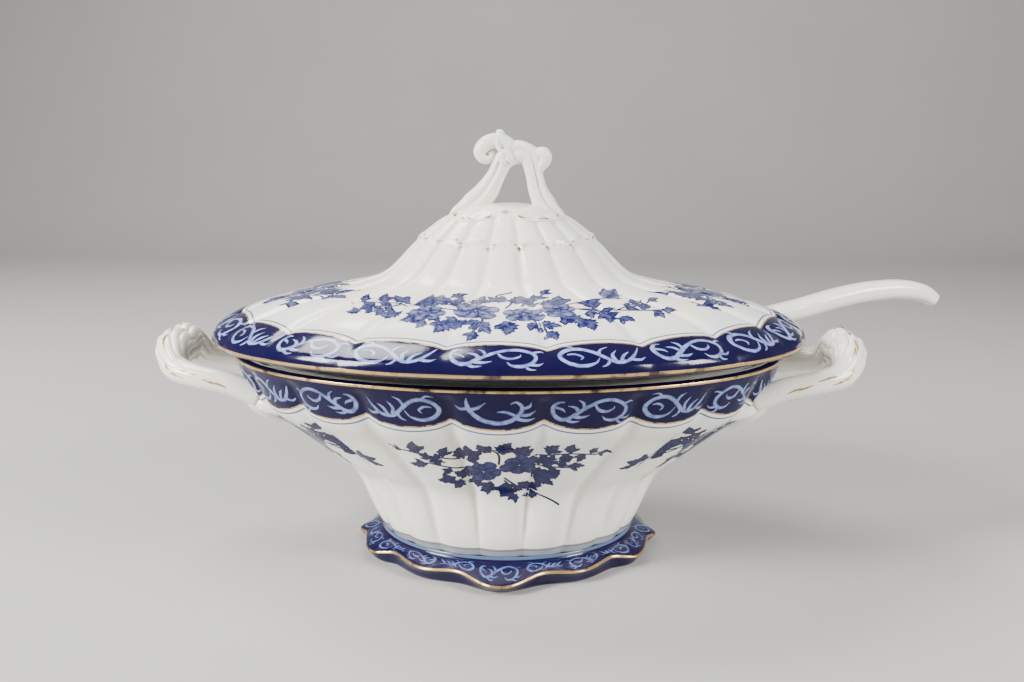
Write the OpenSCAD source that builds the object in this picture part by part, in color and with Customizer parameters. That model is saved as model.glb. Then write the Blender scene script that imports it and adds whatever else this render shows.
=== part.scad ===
// Soup tureen: a fluted oval bowl on a scalloped foot, with two loop handles, a tent-shaped lid
// with an arched finial, and a ladle whose handle leaves through a notch in the lid's rim.
// The origin is on the table under the middle of the foot. +X runs towards the end where the
// ladle comes out, -Y is the front and +Z is up. Sizes are in millimetres.

/* [Bowl] */
// Length of the bowl over its rim, without the handles
bowl_len = 271; // [264:1:276]
// Width of the bowl over its rim
bowl_wid = 187; // [182:1:192]
// Height of the rim's top above the table
rim_h = 100.5; // [97:0.5:104]
// Thickness of the potted wall
wall = 4.5; // [3.5:0.25:5]
// Number of flutes around the bowl and the lid
flutes = 20; // [16:4:24]
// How far a flute swells out between its two creases
flute_depth = 2.4; // [1:0.2:3]

/* [Foot] */
// Length of the foot at its gilt edge
foot_len = 153; // [148:1:156]
// Width of the foot at its gilt edge
foot_wid = 151; // [146:1:154]
// Height of the foot, up to the bowl's flat bottom
foot_h = 12.5; // [12:0.5:14]

/* [Lid] */
// How far the lid's brim stands out past the bowl's rim at the ends
lid_overhang = 10.5; // [9:0.5:12]
// Height of the lid from the bowl's rim to the flat under the finial
lid_h = 72; // [68:1:78]
// Depth of the ring under the lid that keeps it in place
flange_depth = 7; // [5:0.5:8]

/* [Finial] */
// Height of the finial above the flat
finial_h = 36; // [32:1:40]
// Thickness of a finial leg
leg_thick = 8.6; // [7:0.2:10]

/* [Handles] */
// How far a handle reaches past the bowl's rim
handle_reach = 41.5; // [37:0.5:43]
// Thickness of a handle's arm
arm_thick = 11.5; // [10:0.5:12.5]
// Distance between the middles of a handle's two arms
arm_gap = 54; // [50:1:58]

/* [Ladle] */
// Outside diameter of the ladle's cup
cup_d = 70; // [64:1:74]
// Direction in which the ladle's handle leaves, from +X towards the back
ladle_turn = 19; // [17:0.5:21]
// Width of the ladle's handle
handle_w = 14; // [12:0.5:15]

/* [Hidden] */

rest_gap = 0.35; // the lid and the ladle stand this far off what they rest on
arcs = 6;        // straight steps across one flute
round_steps = 16; // sides of a swept rod
turns = flutes * arcs;
rim_a = bowl_len / 2;
rim_b = bowl_wid / 2;
waist_a = 62;
waist_b = 57;
foot_a = foot_len / 2;
foot_b = foot_wid / 2;
lid_a = rim_a + lid_overhang;
lid_b = rim_b + lid_overhang;
seat_z = rim_h + rest_gap; // where the lid rests over the bowl's rim
brim_z = rim_h + 7.3;      // height of the lid's gilt edge
top_z = rim_h + lid_h;
notch_angle = atan2(sin(ladle_turn) * lid_a, cos(ladle_turn) * lid_b);

// A profile is a list of keys [half length, half width, height, flute depth].
bowl_keys = [
    [waist_a, waist_b, foot_h, 0.6 * flute_depth],
    [0.497 * rim_a, 0.634 * rim_b, 0.228 * rim_h, 0.8 * flute_depth],
    [0.56 * rim_a, 0.65 * rim_b, 0.405 * rim_h, flute_depth],
    [0.643 * rim_a, 0.7 * rim_b, 0.5 * rim_h, flute_depth],
    [0.806 * rim_a, 0.8 * rim_b, 0.66 * rim_h, flute_depth],
    [0.915 * rim_a, 0.88 * rim_b, 0.758 * rim_h, flute_depth],
    [0.961 * rim_a, 0.93 * rim_b, 0.862 * rim_h, 0.6 * flute_depth],
    [rim_a, rim_b, rim_h - 1.5, 0]
];
lid_keys = [
    [lid_a, lid_b, brim_z, 0.2 * flute_depth],
    [lid_a - 2.4, lid_b - 2.1, brim_z + 5, 0.5 * flute_depth],
    [lid_a - 11, lid_b - 11.5, brim_z + 10.5, 0.8 * flute_depth],
    [lid_a - 19, lid_b - 20.3, brim_z + 13.8, 0.8 * flute_depth],
    [0.788 * lid_a, 0.723 * lid_b, brim_z + 17.8, 0.7 * flute_depth],
    [0.684 * lid_a, 0.634 * lid_b, brim_z + 21.5, 0.6 * flute_depth],
    [0.575 * lid_a, 0.541 * lid_b, brim_z + 24.3, 0.6 * flute_depth],
    [0.486 * lid_a, 0.464 * lid_b, brim_z + 27, 0.6 * flute_depth],
    [0.4 * lid_a, 0.388 * lid_b, top_z - 32.7, 0.5 * flute_depth],
    [0.3 * lid_a, 0.294 * lid_b, top_z - 18.2, 0.4 * flute_depth],
    [0.2 * lid_a, 0.202 * lid_b, top_z - 6.7, 0.2 * flute_depth],
    [0.12 * lid_a, 0.14 * lid_b, top_z - 1.7, 0],
    [0.04 * lid_a, 0.05 * lid_b, top_z, 0]
];
// The underside of the lid's brim, from the edge in to where the thin dome starts.
brim_keys = [
    [lid_a - 0.6, lid_b - 0.6, brim_z - 1.6, 0],
    [rim_a + 1.5, rim_b + 1.5, seat_z + 0.4, 0],
    [rim_a - wall - 9, rim_b - wall - 9, seat_z, 0],
    [rim_a - wall - 10.5, rim_b - wall - 10.5, seat_z + 7, 0]
];

// A smooth curve through keys, with n steps from each key to the next.
function bend(p, q, r, s, t) =
    0.5 * (2 * q + (r - p) * t + (2 * p - 5 * q + 4 * r - s) * t * t
           + (3 * q - p - 3 * r + s) * t * t * t);
function key(k, i) = k[min(max(i, 0), len(k) - 1)];
function smooth(k, n) = [
    for (i = [0:len(k) - 2]) for (j = [0:n - 1])
        bend(key(k, i - 1), k[i], k[i + 1], key(k, i + 2), j / n),
    key(k, len(k))
];
function slope(c, i) = key(c, i + 1) - key(c, i - 1);

// A curve moved in by the wall's thickness, square to itself.
function inset(c, w) = [
    for (i = [0:len(c) - 1])
        let (d = slope(c, i), u = w / norm([d[0], d[2]]))
        [c[i][0] - u * d[2], c[i][1] - u * d[2], c[i][2] + u * d[0], c[i][3]]
];

// The swell of a flute at angle t: 0.6 in the middle of a flute, -0.4 in the crease beside it.
function flute_angle(t) = (t + 90) / 360 * flutes + 0.5;
function swell(t) = let (w = flute_angle(t) - floor(flute_angle(t)) - 0.5) 0.6 - 4 * w * w;
function oval(k, t) = [
    (k[0] + k[3] * swell(t)) * cos(t),
    (k[1] + k[3] * swell(t)) * sin(t),
    k[2]
];
function angle(i) = -90 + (i / arcs + 0.5) * 360 / flutes;
function ring(k) = [for (i = [0:turns - 1]) oval(k, angle(i))];

// A closed solid over rings of equal length: capped at both ends, or joined end to end.
function wrap(m, n, rows) = [
    for (i = [0:rows - 1]) for (j = [0:n - 1])
        let (a = i * n + j, b = i * n + (j + 1) % n, c = (i + 1) % m * n + j,
             d = (i + 1) % m * n + (j + 1) % n)
        each [[a, c, d], [a, d, b]]
];
function middle(r) = [for (q = r) 1] * r / len(r);
module skin(rings, capped = true) {
    n = len(rings[0]);
    m = len(rings);
    ends = [middle(rings[0]), middle(rings[m - 1])];
    caps = [for (j = [0:n - 1]) each [
        [m * n, j, (j + 1) % n],
        [m * n + 1, (m - 1) * n + (j + 1) % n, (m - 1) * n + j]
    ]];
    points = [for (r = rings) each r];
    if (capped)
        polyhedron(concat(points, ends), concat(wrap(m, n, m - 1), caps));
    else
        polyhedron(points, wrap(m, n, m));
}

// A rod along a smooth path. A key is [x, y, z, half width across "side", half width along it].
function unit(v) = v / norm(v);
function spot(k) = [k[0], k[1], k[2]];
function rod_ring(c, i, side) =
    let (t = unit(spot(slope(c, i))), n = unit(cross(side, t)), b = cross(t, n))
    [for (j = [0:round_steps - 1])
        let (g = 360 * j / round_steps)
        spot(c[i]) + c[i][3] * cos(g) * n + c[i][4] * sin(g) * b];
module rod(keys, steps, side) {
    c = smooth(keys, steps);
    skin([for (i = [0:len(c) - 1]) rod_ring(c, i, side)]);
}

module tureen_bowl() {
    outer = smooth(bowl_keys, 2);
    inner = inset(outer, wall);
    floor_z = foot_h + wall + 1;
    lip = [rim_a - wall / 2, rim_b - wall / 2, rim_h, 0];
    inside = [for (i = [len(inner) - 1:-1:2]) if (inner[i][2] > floor_z + 2) inner[i]];
    last = inside[len(inside) - 1];
    color("white")
        skin([
            for (k = outer) ring(k),
            ring(lip),
            for (k = inside) ring(k),
            ring([last[0] - 5, last[1] - 5, floor_z, 0])
        ]);
}

// The foot's edge stays short of its oval by an amount that waves round it. A pair is
// [degrees from the front or the back, how far short]; the lobes are at 0, 33, 62.5 and 90.
foot_edge = [[0, 0], [19, 10], [33, 7], [51, 10], [62.5, 2.3], [82, 4.1], [90, 0]];
function from_front(t) = asin(abs(cos(t)));
function ease(p, r, q) = p[1] + (r[1] - p[1]) * (1 - cos(180 * (q - p[0]) / (r[0] - p[0]))) / 2;
function short_after(q, i) =
    i > len(foot_edge) - 3 || q <= foot_edge[i + 1][0] ? ease(foot_edge[i], foot_edge[i + 1], q)
        : short_after(q, i + 1);
function short(t) = short_after(from_front(t), 0);
foot_turns = 96;
// A foot key is [half length, half width, height, share of the shortfall, rise for each mm short].
function foot_ring(k) = [
    for (i = [0:foot_turns - 1])
        let (t = 360 * i / foot_turns, s = short(t))
        [(k[0] - k[3] * s) * cos(t), (k[1] - k[3] * s) * sin(t), k[2] + k[4] * s]
];
function flat(r) = [for (q = r) [q[0], q[1]]];
base_rise = 1.2; // the foot stands on a narrow flat ring this high
module pedestal_foot() {
    color("navy") {
        linear_extrude(base_rise + 1)
            difference() {
                polygon(flat(foot_ring([foot_a - 4.8, foot_b - 6.6, 0, 0.62, 0])));
                polygon(flat(foot_ring([waist_a - 3.5, waist_b - 3.5, 0, 0, 0])));
            }
        skin([
            foot_ring([foot_a - 4, foot_b - 5.6, base_rise, 0.65, 0]),
            foot_ring([foot_a - 1.4, foot_b - 2, 3, 0.9, 0.14]),
            foot_ring([foot_a, foot_b, 4.6, 1, 0.2]),
            foot_ring([foot_a - 1.8, foot_b - 2.2, 6.1, 0.93, 0.2]),
            foot_ring([foot_a - 7, foot_b - 9, 8.3, 0.5, 0.14]),
            foot_ring([waist_a + 0.8, waist_b + 0.8, foot_h - 1.6, 0.06, 0]),
            foot_ring([waist_a - 0.6, waist_b - 0.6, foot_h, 0, 0]),
            foot_ring([waist_a - 9, waist_b - 9, foot_h, 0, 0]),
            foot_ring([waist_a - 7, waist_b - 7, 4.5, 0, 0]),
            foot_ring([waist_a - 4.5, waist_b - 4.5, base_rise, 0, 0])
        ], capped = false);
    }
}

// One side's handle: two arms leave the wall under the band, sweep out and rise into a crest of
// two lobes that meet in a cleft.
module handle(way) {
    half = arm_gap / 2;
    arm = arm_thick / 2;
    end = rim_a + handle_reach;
    root_a = 0.885 * rim_a;
    one_arm = [
        [root_a - 3, half + 4, rim_h - 20, 0.8 * arm, 0.9 * arm],
        [root_a + 11, half + 3, rim_h - 14, arm, arm],
        [root_a + 27, half + 1, rim_h - 10.8, arm, arm],
        [end - 17, half - 4.5, rim_h - 8, 1.1 * arm, 1.15 * arm],
        [end - 12, half - 12, rim_h - 2.5, 1.4 * arm, 1.6 * arm],
        [end - 11, 8, rim_h - 0.5, 1.65 * arm, 1.85 * arm],
        [end - 11.5, 2.5, rim_h - 1.5, 1.4 * arm, 1.6 * arm]
    ];
    rear = [for (k = one_arm) [way * k[0], k[1], k[2], k[3], k[4]]];
    front = [for (i = [len(rear) - 1:-1:0])
        [rear[i][0], -rear[i][1], rear[i][2], rear[i][3], rear[i][4]]];
    color("ivory")
        rod(concat(rear, front), 2, [0, 0, 1]);
}
module left_handle() {
    handle(-1);
}
module right_handle() {
    handle(1);
}

// The lid's shell stops short of the brim where the ladle's handle leaves.
notch_full = 5;
notch_soft = 10.5;
notch_keys = 3.3; // how many of the outer profile's keys the notch cuts away
function notch(t) =
    let (d = abs(t - notch_angle), f = (notch_soft - d) / (notch_soft - notch_full))
    f <= 0 ? 0 : f >= 1 ? 1 : f * f * (3 - 2 * f);
function at(c, x) = let (i = min(floor(x), len(c) - 2)) c[i] + (c[i + 1] - c[i]) * (x - i);
function lid_ring(c, r, cut) = [
    for (i = [0:turns - 1])
        let (u = cut * notch(angle(i)), rows = len(c) - 1)
        oval(at(c, u + r * (rows - u) / rows), angle(i))
];
module lid_shell() {
    steps = 2;
    outer = smooth(lid_keys, steps);
    dome = inset(outer, wall - 0.5);
    dome_start = notch_keys * steps;
    inner = concat(brim_keys, [for (i = [ceil(dome_start):len(dome) - 1]) dome[i]]);
    color("aliceblue")
        skin([
            for (r = [len(inner) - 1:-1:0]) lid_ring(inner, r, len(brim_keys)),
            for (r = [0:len(outer) - 1]) lid_ring(outer, r, dome_start)
        ]);
}

// The ring under the lid fits inside the bowl's mouth and is open where the ladle passes.
module lid_locating_flange() {
    out_a = rim_a - wall - 4.5;
    out_b = rim_b - wall - 4.5;
    thick = 4;
    bite = 1.5; // how far the ring runs up into the brim
    low = seat_z - flange_depth;
    high = seat_z + bite;
    gap = 12;
    steps = 60;
    color("lightcyan")
        skin([for (i = [0:steps])
            let (t = notch_angle + gap + i * (360 - 2 * gap) / steps)
            [
                [out_a * cos(t), out_b * sin(t), low],
                [out_a * cos(t), out_b * sin(t), high],
                [(out_a - thick) * cos(t), (out_b - thick) * sin(t), high],
                [(out_a - thick) * cos(t), (out_b - thick) * sin(t), low]
            ]
        ]);
}

// Two splayed legs rise to an arch with a curled scroll on one side and a knob on the other.
module lid_finial() {
    leg = leg_thick / 2;
    base = top_z;
    h = finial_h;
    arch = [
        [-26, 0, base - 5.5, leg, 1.3 * leg],
        [-17.5, 0, base - 1.5, 1.4 * leg, 1.3 * leg],
        [-10.5, 0, base + 0.14 * h, 1.35 * leg, 1.15 * leg],
        [-5.2, 0, base + 0.38 * h, 1.05 * leg, leg],
        [-1.5, 0, base + 0.58 * h, 1.15 * leg, leg],
        [4.5, 0, base + 0.685 * h, 1.35 * leg, 1.05 * leg],
        [10.5, 0, base + 0.63 * h, 1.2 * leg, leg],
        [13, 0, base + 0.42 * h, leg, leg],
        [15.2, 0, base + 0.17 * h, 1.1 * leg, 1.1 * leg],
        [19.2, 0, base - 1.5, 1.3 * leg, 1.25 * leg],
        [26.5, 0, base - 6.5, leg, 1.3 * leg]
    ];
    scroll = [
        [1, 0, base + 0.74 * h, leg, 0.9 * leg],
        [-3.2, 0, base + h - 0.8 * leg, 0.8 * leg, 0.9 * leg],
        [-9.5, 0, base + 0.8 * h, 0.9 * leg, leg],
        [-12.6, 0, base + 0.69 * h, 0.85 * leg, 0.9 * leg],
        [-9.5, 0, base + 0.63 * h, 0.6 * leg, 0.8 * leg]
    ];
    color("floralwhite") {
        rod(arch, 3, [0, 1, 0]);
        rod(scroll, 3, [0, 1, 0]);
        translate([17.3, 0, base + 0.6 * h])
            sphere(d = leg_thick, $fn = 24);
    }
}

// The ladle is built along +X and turned to where its handle leaves. Its cup stands on the
// bowl's floor, a little past the middle.
cup_r = cup_d / 2;
cup_x = -8;
cup_z = foot_h + wall + 1 + rest_gap;
cup_h = 26;
cup_wall = 3.5;
module cup_profile(r, h) {
    intersection() {
        translate([0, r])
            circle(r = r, $fn = 64);
        square([r, h]);
    }
}
module ladle_bowl() {
    color("whitesmoke")
        rotate([0, 0, ladle_turn])
            translate([cup_x, 0, cup_z])
                rotate_extrude($fn = 96)
                    difference() {
                        cup_profile(cup_r, cup_h);
                        translate([0, cup_wall])
                            cup_profile(cup_r - cup_wall, cup_h);
                    }
}

// The handle rises from the cup's edge, clears the bowl's rim and curls over outside it.
module ladle_handle() {
    half_w = handle_w / 2;
    thin = 4.4;
    start = cup_x + cup_r;
    out = 1 / norm([cos(ladle_turn) / rim_a, sin(ladle_turn) / rim_b]);
    path = [
        [start - 2.4, 0, cup_z + 15, 2.6, 0.7 * half_w],
        [start + 5, 0, cup_z + 30, 3.6, 0.8 * half_w],
        [start + 38, 0, rim_h - 36, thin, 0.9 * half_w],
        [out - 24, 0, rim_h - 5.3, thin, half_w],
        [out, 0, rim_h + 6.8, thin, half_w],
        [out + 14, 0, rim_h + 9, 1.1 * thin, half_w],
        [out + 35, 0, rim_h + 12.4, 1.2 * thin, half_w],
        [out + 57, 0, rim_h + 17.2, 1.2 * thin, half_w],
        [out + 77, 0, rim_h + 20.2, 1.2 * thin, half_w],
        [out + 97, 0, rim_h + 20.8, 1.2 * thin, 1.05 * half_w],
        [out + 111, 0, rim_h + 18.4, 1.15 * thin, half_w],
        [out + 120, 0, rim_h + 13.8, 0.9 * thin, 0.8 * half_w]
    ];
    color("gainsboro")
        rotate([0, 0, ladle_turn])
            rod(path, 2, [0, -1, 0]);
}

tureen_bowl();
pedestal_foot();
left_handle();
right_handle();
lid_shell();
lid_locating_flange();
lid_finial();
ladle_bowl();
ladle_handle();
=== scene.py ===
"""Soup tureen with blue printed bands, its lid and its ladle, on a pale floor.

Shapes are worked out in millimetres and handed to Blender in metres. The bowl, foot and lid are
"walls": oval surfaces given by a few profile keys, with a place on them named by (t, v), where t is
the angle round the oval in degrees (-90 is the front) and v is the distance up the profile.
The printed scrolls and flowers and the gilt touches are thin transfers that lie on those walls.
"""
import math

import bpy
import numpy as np
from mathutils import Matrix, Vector


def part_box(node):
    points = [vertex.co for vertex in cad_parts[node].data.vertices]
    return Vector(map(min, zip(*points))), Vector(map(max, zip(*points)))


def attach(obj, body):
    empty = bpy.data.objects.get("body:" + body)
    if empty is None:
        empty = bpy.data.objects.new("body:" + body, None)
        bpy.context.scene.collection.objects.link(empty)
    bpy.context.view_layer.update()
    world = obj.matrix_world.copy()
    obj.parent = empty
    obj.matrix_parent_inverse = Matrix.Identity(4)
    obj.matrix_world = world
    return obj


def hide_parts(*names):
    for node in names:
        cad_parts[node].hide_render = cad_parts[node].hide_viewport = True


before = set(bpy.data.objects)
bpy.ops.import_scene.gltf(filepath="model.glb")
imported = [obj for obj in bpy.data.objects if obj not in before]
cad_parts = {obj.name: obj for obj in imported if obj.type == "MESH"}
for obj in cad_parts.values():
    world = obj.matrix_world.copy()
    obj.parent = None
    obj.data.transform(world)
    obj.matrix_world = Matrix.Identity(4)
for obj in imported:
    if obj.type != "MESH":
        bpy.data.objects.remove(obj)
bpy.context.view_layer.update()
MM = 0.001


def compass(degrees, size=1.0):
    return size * math.cos(math.radians(degrees)), size * math.sin(math.radians(degrees))


def bowed(x, y, angle, length, curve, shares):
    """Points at shares of a bowed line that sets out from (x, y)."""
    c, s = compass(angle, length)
    bows = [curve * math.sin(math.pi * f) for f in shares]
    return [(x + f * c - bow * s, y + f * s + bow * c) for f, bow in zip(shares, bows)]


def box_mm(node):
    low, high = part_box(node)
    return np.array(low) / MM, np.array(high) / MM


# ---- driving sizes, from the frame
RIM_A, RIM_B, RIM_H = box_mm("tureen_bowl")[1]
FOOT_H = box_mm("tureen_bowl")[0][2]
FOOT_A, FOOT_B, _ = box_mm("pedestal_foot")[1]
FINIAL_TOP = box_mm("lid_finial")[1][2]
WAIST_A, WAIST_B = 62, 57
WALL = 4.5
FLUTES = 20
DEPTH = 2.4
OVERHANG = 10.5
LID_A, LID_B = RIM_A + OVERHANG, RIM_B + OVERHANG
SEAT_Z = RIM_H + 0.35
BRIM_Z = RIM_H + 7.3
TOP_Z = RIM_H + 72
LADLE_TURN = 19
LADLE_COS, LADLE_SIN = compass(LADLE_TURN)
NOTCH_T = math.degrees(math.atan2(LADLE_SIN * LID_A, LADLE_COS * LID_B))
NOTCH_FULL, NOTCH_SOFT, NOTCH_KEYS = 5, 10.5, 3.3
FLUTE_T = 360 / FLUTES

BOWL_KEYS = [(WAIST_A, WAIST_B, FOOT_H, 0.6 * DEPTH)]
BOWL_KEYS += [(a * RIM_A, b * RIM_B, z * RIM_H, d * DEPTH) for a, b, z, d in (
    (0.497, 0.634, 0.228, 0.8), (0.56, 0.65, 0.405, 1), (0.643, 0.7, 0.5, 1),
    (0.806, 0.8, 0.66, 1), (0.915, 0.88, 0.758, 1), (0.961, 0.93, 0.862, 0.6))]
BOWL_KEYS += [(RIM_A, RIM_B, RIM_H - 1.5, 0)]
LID_KEYS = [(LID_A - a, LID_B - b, BRIM_Z + z, d * DEPTH) for a, b, z, d in (
    (0, 0, 0, 0.2), (2.4, 2.1, 5, 0.5), (11, 11.5, 10.5, 0.8), (19, 20.3, 13.8, 0.8))]
LID_KEYS += [(a * LID_A, b * LID_B, z, d * DEPTH) for a, b, z, d in (
    (0.788, 0.723, BRIM_Z + 17.8, 0.7), (0.684, 0.634, BRIM_Z + 21.5, 0.6),
    (0.575, 0.541, BRIM_Z + 24.3, 0.6), (0.486, 0.464, BRIM_Z + 27, 0.6),
    (0.4, 0.388, TOP_Z - 32.7, 0.5), (0.3, 0.294, TOP_Z - 18.2, 0.4),
    (0.2, 0.202, TOP_Z - 6.7, 0.2), (0.12, 0.14, TOP_Z - 1.7, 0), (0.04, 0.05, TOP_Z, 0))]
BRIM_KEYS = [(LID_A - 0.6, LID_B - 0.6, BRIM_Z - 1.6, 0)]
BRIM_KEYS += [(RIM_A + a, RIM_B + a, SEAT_Z + z, 0) for a, z in (
    (1.5, 0.4), (-WALL - 9, 0), (-WALL - 10.5, 7))]
# A foot key is [half length, half width, height, share of the shortfall, rise per mm short]: the
# foot's edge stays short of its oval by an amount that waves round it, with twelve lobes.
FOOT_KEYS = [(FOOT_A - a, FOOT_B - b, z, share, rise) for a, b, z, share, rise in (
    (4.8, 6.4, 0.3, 0.62, 0), (3.4, 4.8, 1.4, 0.7, 0.02), (1.6, 2.2, 3, 0.9, 0.14),
    (0.1, 0.1, 4.6, 1, 0.2), (1.8, 2.2, 6.1, 0.93, 0.2), (7, 9, 8.3, 0.5, 0.14))]
FOOT_KEYS += [(WAIST_A + 2, WAIST_B + 2, FOOT_H - 2.2, 0.06, 0.02),
              (WAIST_A + 0.9, WAIST_B + 0.9, FOOT_H, 0, 0)]
FOOT_EDGE = [(0, 0), (19, 10), (33, 7), (51, 10), (62.5, 2.3), (82, 4.1), (90, 0)]


# ---- curves and walls
def bend(keys, x):
    """A smooth curve through keys at place x, which runs from 0 to the number of steps."""
    k = np.asarray(keys, float)
    x = np.asarray(x, float)
    i = np.clip(np.floor(x).astype(int), 0, len(k) - 2)
    t = (x - i)[..., None]
    p, q = k[np.maximum(i - 1, 0)], k[i]
    r, s = k[i + 1], k[np.minimum(i + 2, len(k) - 1)]
    return 0.5 * (2 * q + (r - p) * t + (2 * p - 5 * q + 4 * r - s) * t**2
                  + (3 * q - p - 3 * r + s) * t**3)


def straight(keys, x):
    k = np.asarray(keys, float)
    i = np.clip(np.floor(x).astype(int), 0, len(k) - 2)
    return k[i] + (k[i + 1] - k[i]) * (x - i)[..., None]


def steps(keys, n):
    return np.linspace(0, len(keys) - 1, n)


def unit(v):
    return v / np.maximum(np.linalg.norm(v, axis=-1, keepdims=True), 1e-12)


def soft(low, high, x):
    f = np.clip((x - low) / (high - low), 0, 1)
    return f * f * (3 - 2 * f)


def flute_place(t):
    """Where t lies across its flute: 0 in the middle, -0.5 and 0.5 in the creases."""
    return (t + 90) / FLUTE_T + 0.5 - np.floor((t + 90) / FLUTE_T + 0.5) - 0.5


def lobe(t):
    return 1 - 4 * flute_place(t) ** 2


def swell(t):
    return lobe(t) - 0.4


def shortfall(t):
    """How far the foot's edge stays short of its oval, eased between the pairs of FOOT_EDGE."""
    angle = np.degrees(np.arcsin(np.clip(np.abs(np.cos(np.radians(t))), 0, 1)))
    place, reach = np.array(FOOT_EDGE, float).T
    i = np.clip(np.searchsorted(place, angle, side="right") - 1, 0, len(place) - 2)
    f = (angle - place[i]) / (place[i + 1] - place[i])
    return reach[i] + (reach[i + 1] - reach[i]) * (1 - np.cos(np.pi * f)) / 2


def notch(t):
    """1 where the lid's brim is cut right back for the ladle, 0 away from there."""
    away = np.abs((t - NOTCH_T + 180) % 360 - 180)
    return soft(NOTCH_SOFT, NOTCH_FULL, away)


class Wall:
    """A fluted oval surface through profile keys [half length, half width, height, depth]."""

    CREASE, CREASE_HALF = 1.1, 0.10

    def __init__(self, keys):
        self.keys = keys
        self.x = steps(keys, 900)
        line = bend(keys, self.x)
        flat = np.stack([(line[:, 0] + line[:, 1]) / 2, line[:, 2]], 1)
        run = np.linalg.norm(np.diff(flat, axis=0), axis=1)
        self.v = np.concatenate([[0], np.cumsum(run)])
        self.z = line[:, 2]
        self.length = self.v[-1]

    def v_of_key(self, key):
        return float(np.interp(key, self.x, self.v))

    def v_of_height(self, z):
        return float(np.interp(z, self.z, self.v))

    def key_at(self, v):
        return bend(self.keys, np.interp(v, self.v, self.x))

    def grown(self, t, k):
        """How far the surface stands out from its oval at t, and how far it rises."""
        return k[..., 3] * swell(t), 0.0

    def place(self, t, k):
        rad = np.radians(t)
        out, rise = self.grown(t, k)
        x = (k[..., 0] + out) * np.cos(rad)
        y = (k[..., 1] + out) * np.sin(rad)
        return np.stack([x, y, k[..., 2] + rise + 0 * x], -1)

    def relief(self, t, v):
        """Sharp creases between the flutes, easing out at the foot and at the rim."""
        away = (0.5 - np.abs(flute_place(t))) / self.CREASE_HALF
        ends = soft(4, 16, v) * (1 - soft(self.length - 7, self.length - 1, v))
        return -self.CREASE * np.exp(-away * away) * ends

    def at(self, t, v, lift=0.0):
        """Points of the surface, lifted off it by so many millimetres, and their normals."""
        t, v = np.broadcast_arrays(np.asarray(t, float), np.asarray(v, float))

        def bare(tt, vv):
            return self.place(tt, self.key_at(vv))

        e = 0.05
        vv = np.clip(v, 2 * e, self.length - 2 * e)
        across = bare(t + e, vv) - bare(t - e, vv)
        normal = unit(np.cross(across, bare(t, vv + e) - bare(t, vv - e)))
        return bare(t, v) + normal * (self.relief(t, v) + lift)[..., None], normal

    def mm_per_degree(self, t, v):
        k, rad = self.key_at(v), np.radians(t)
        return np.hypot(k[..., 0] * np.sin(rad), k[..., 1] * np.cos(rad)) * np.pi / 180


class Foot(Wall):
    """The foot has no flutes: its edge falls short of the oval, and rises where it does."""

    def relief(self, t, v):
        return 0 * v

    def grown(self, t, k):
        return -k[..., 3] * shortfall(t), k[..., 4] * shortfall(t)


class Lid(Wall):
    """The lid's cone carries a raised leafy collar, whose lower edge waves with the flutes."""

    COLLAR_Z, COLLAR_RISE, CREASE = TOP_Z - 19.5, 0.75, 1.2

    def collar(self, t):
        w = np.abs(flute_place(t))
        rise = 2.8 * (1 - 4 * w * w) - 1.5 * np.exp(-((w - 0.37) / 0.05) ** 2)
        return self.v_of_height(self.COLLAR_Z) + 1.6 * np.cos(np.radians(t)) ** 2 + rise

    def relief(self, t, v):
        above = v - self.collar(t)
        edge = np.exp(-((above - 0.9) / 0.75) ** 2)
        fade = 1 - soft(10, 20, above)
        away = (0.5 - np.abs(flute_place(t))) / (0.075 + 0.06 * soft(60, 100, v))
        ends = soft(6, 24, v) * (1 - soft(self.length - 30, self.length - 16, v))
        return (self.COLLAR_RISE * (soft(-0.3, 0.6, above) * fade + edge)
                - self.CREASE * np.exp(-away * away) * ends)

    def band(self, t):
        """How much lower on the profile the printed band ends at the front and the back."""
        return -5.2 * np.sin(np.radians(t)) ** 2

    def edge(self, t):
        """How far up the profile the lid starts at angle t: 0, or more in the ladle's notch."""
        return np.interp(NOTCH_KEYS * notch(t), self.x, self.v)


bowl, foot, lid = Wall(BOWL_KEYS), Foot(FOOT_KEYS), Lid(LID_KEYS)


# ---- meshes
def make_mesh(name, points, faces, maps, body, material, normals=None, replaced=()):
    """A mesh from points in mm, a list of face arrays and per-corner maps of two numbers."""
    mesh = bpy.data.meshes.new(name)
    sizes = np.concatenate([np.full(len(f), f.shape[1]) for f in faces]).astype(np.int32)
    corners = np.concatenate([f.ravel() for f in faces]).astype(np.int32)
    starts = np.cumsum(sizes, dtype=np.int32) - sizes
    mesh.vertices.add(len(points))
    mesh.loops.add(len(corners))
    mesh.polygons.add(len(sizes))
    mesh.vertices.foreach_set("co", (np.asarray(points) * MM).astype(np.float32).ravel())
    mesh.loops.foreach_set("vertex_index", corners)
    mesh.polygons.foreach_set("loop_start", starts)
    mesh.polygons.foreach_set("loop_total", sizes)
    for key, values in maps.items():
        layer = mesh.uv_layers.new(name=key)
        layer.data.foreach_set("uv", np.asarray(values, np.float32).ravel())
    mesh.update(calc_edges=True)
    mesh.validate()
    mesh.polygons.foreach_set("use_smooth", np.ones(len(mesh.polygons), bool))
    if normals is not None:
        mesh.normals_split_custom_set_from_vertices(np.asarray(normals).tolist())
    mesh.materials.append(material)
    piece = bpy.data.objects.new(name, mesh)
    bpy.context.scene.collection.objects.link(piece)
    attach(piece, body)
    if replaced:
        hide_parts(*replaced)
    return piece


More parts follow.
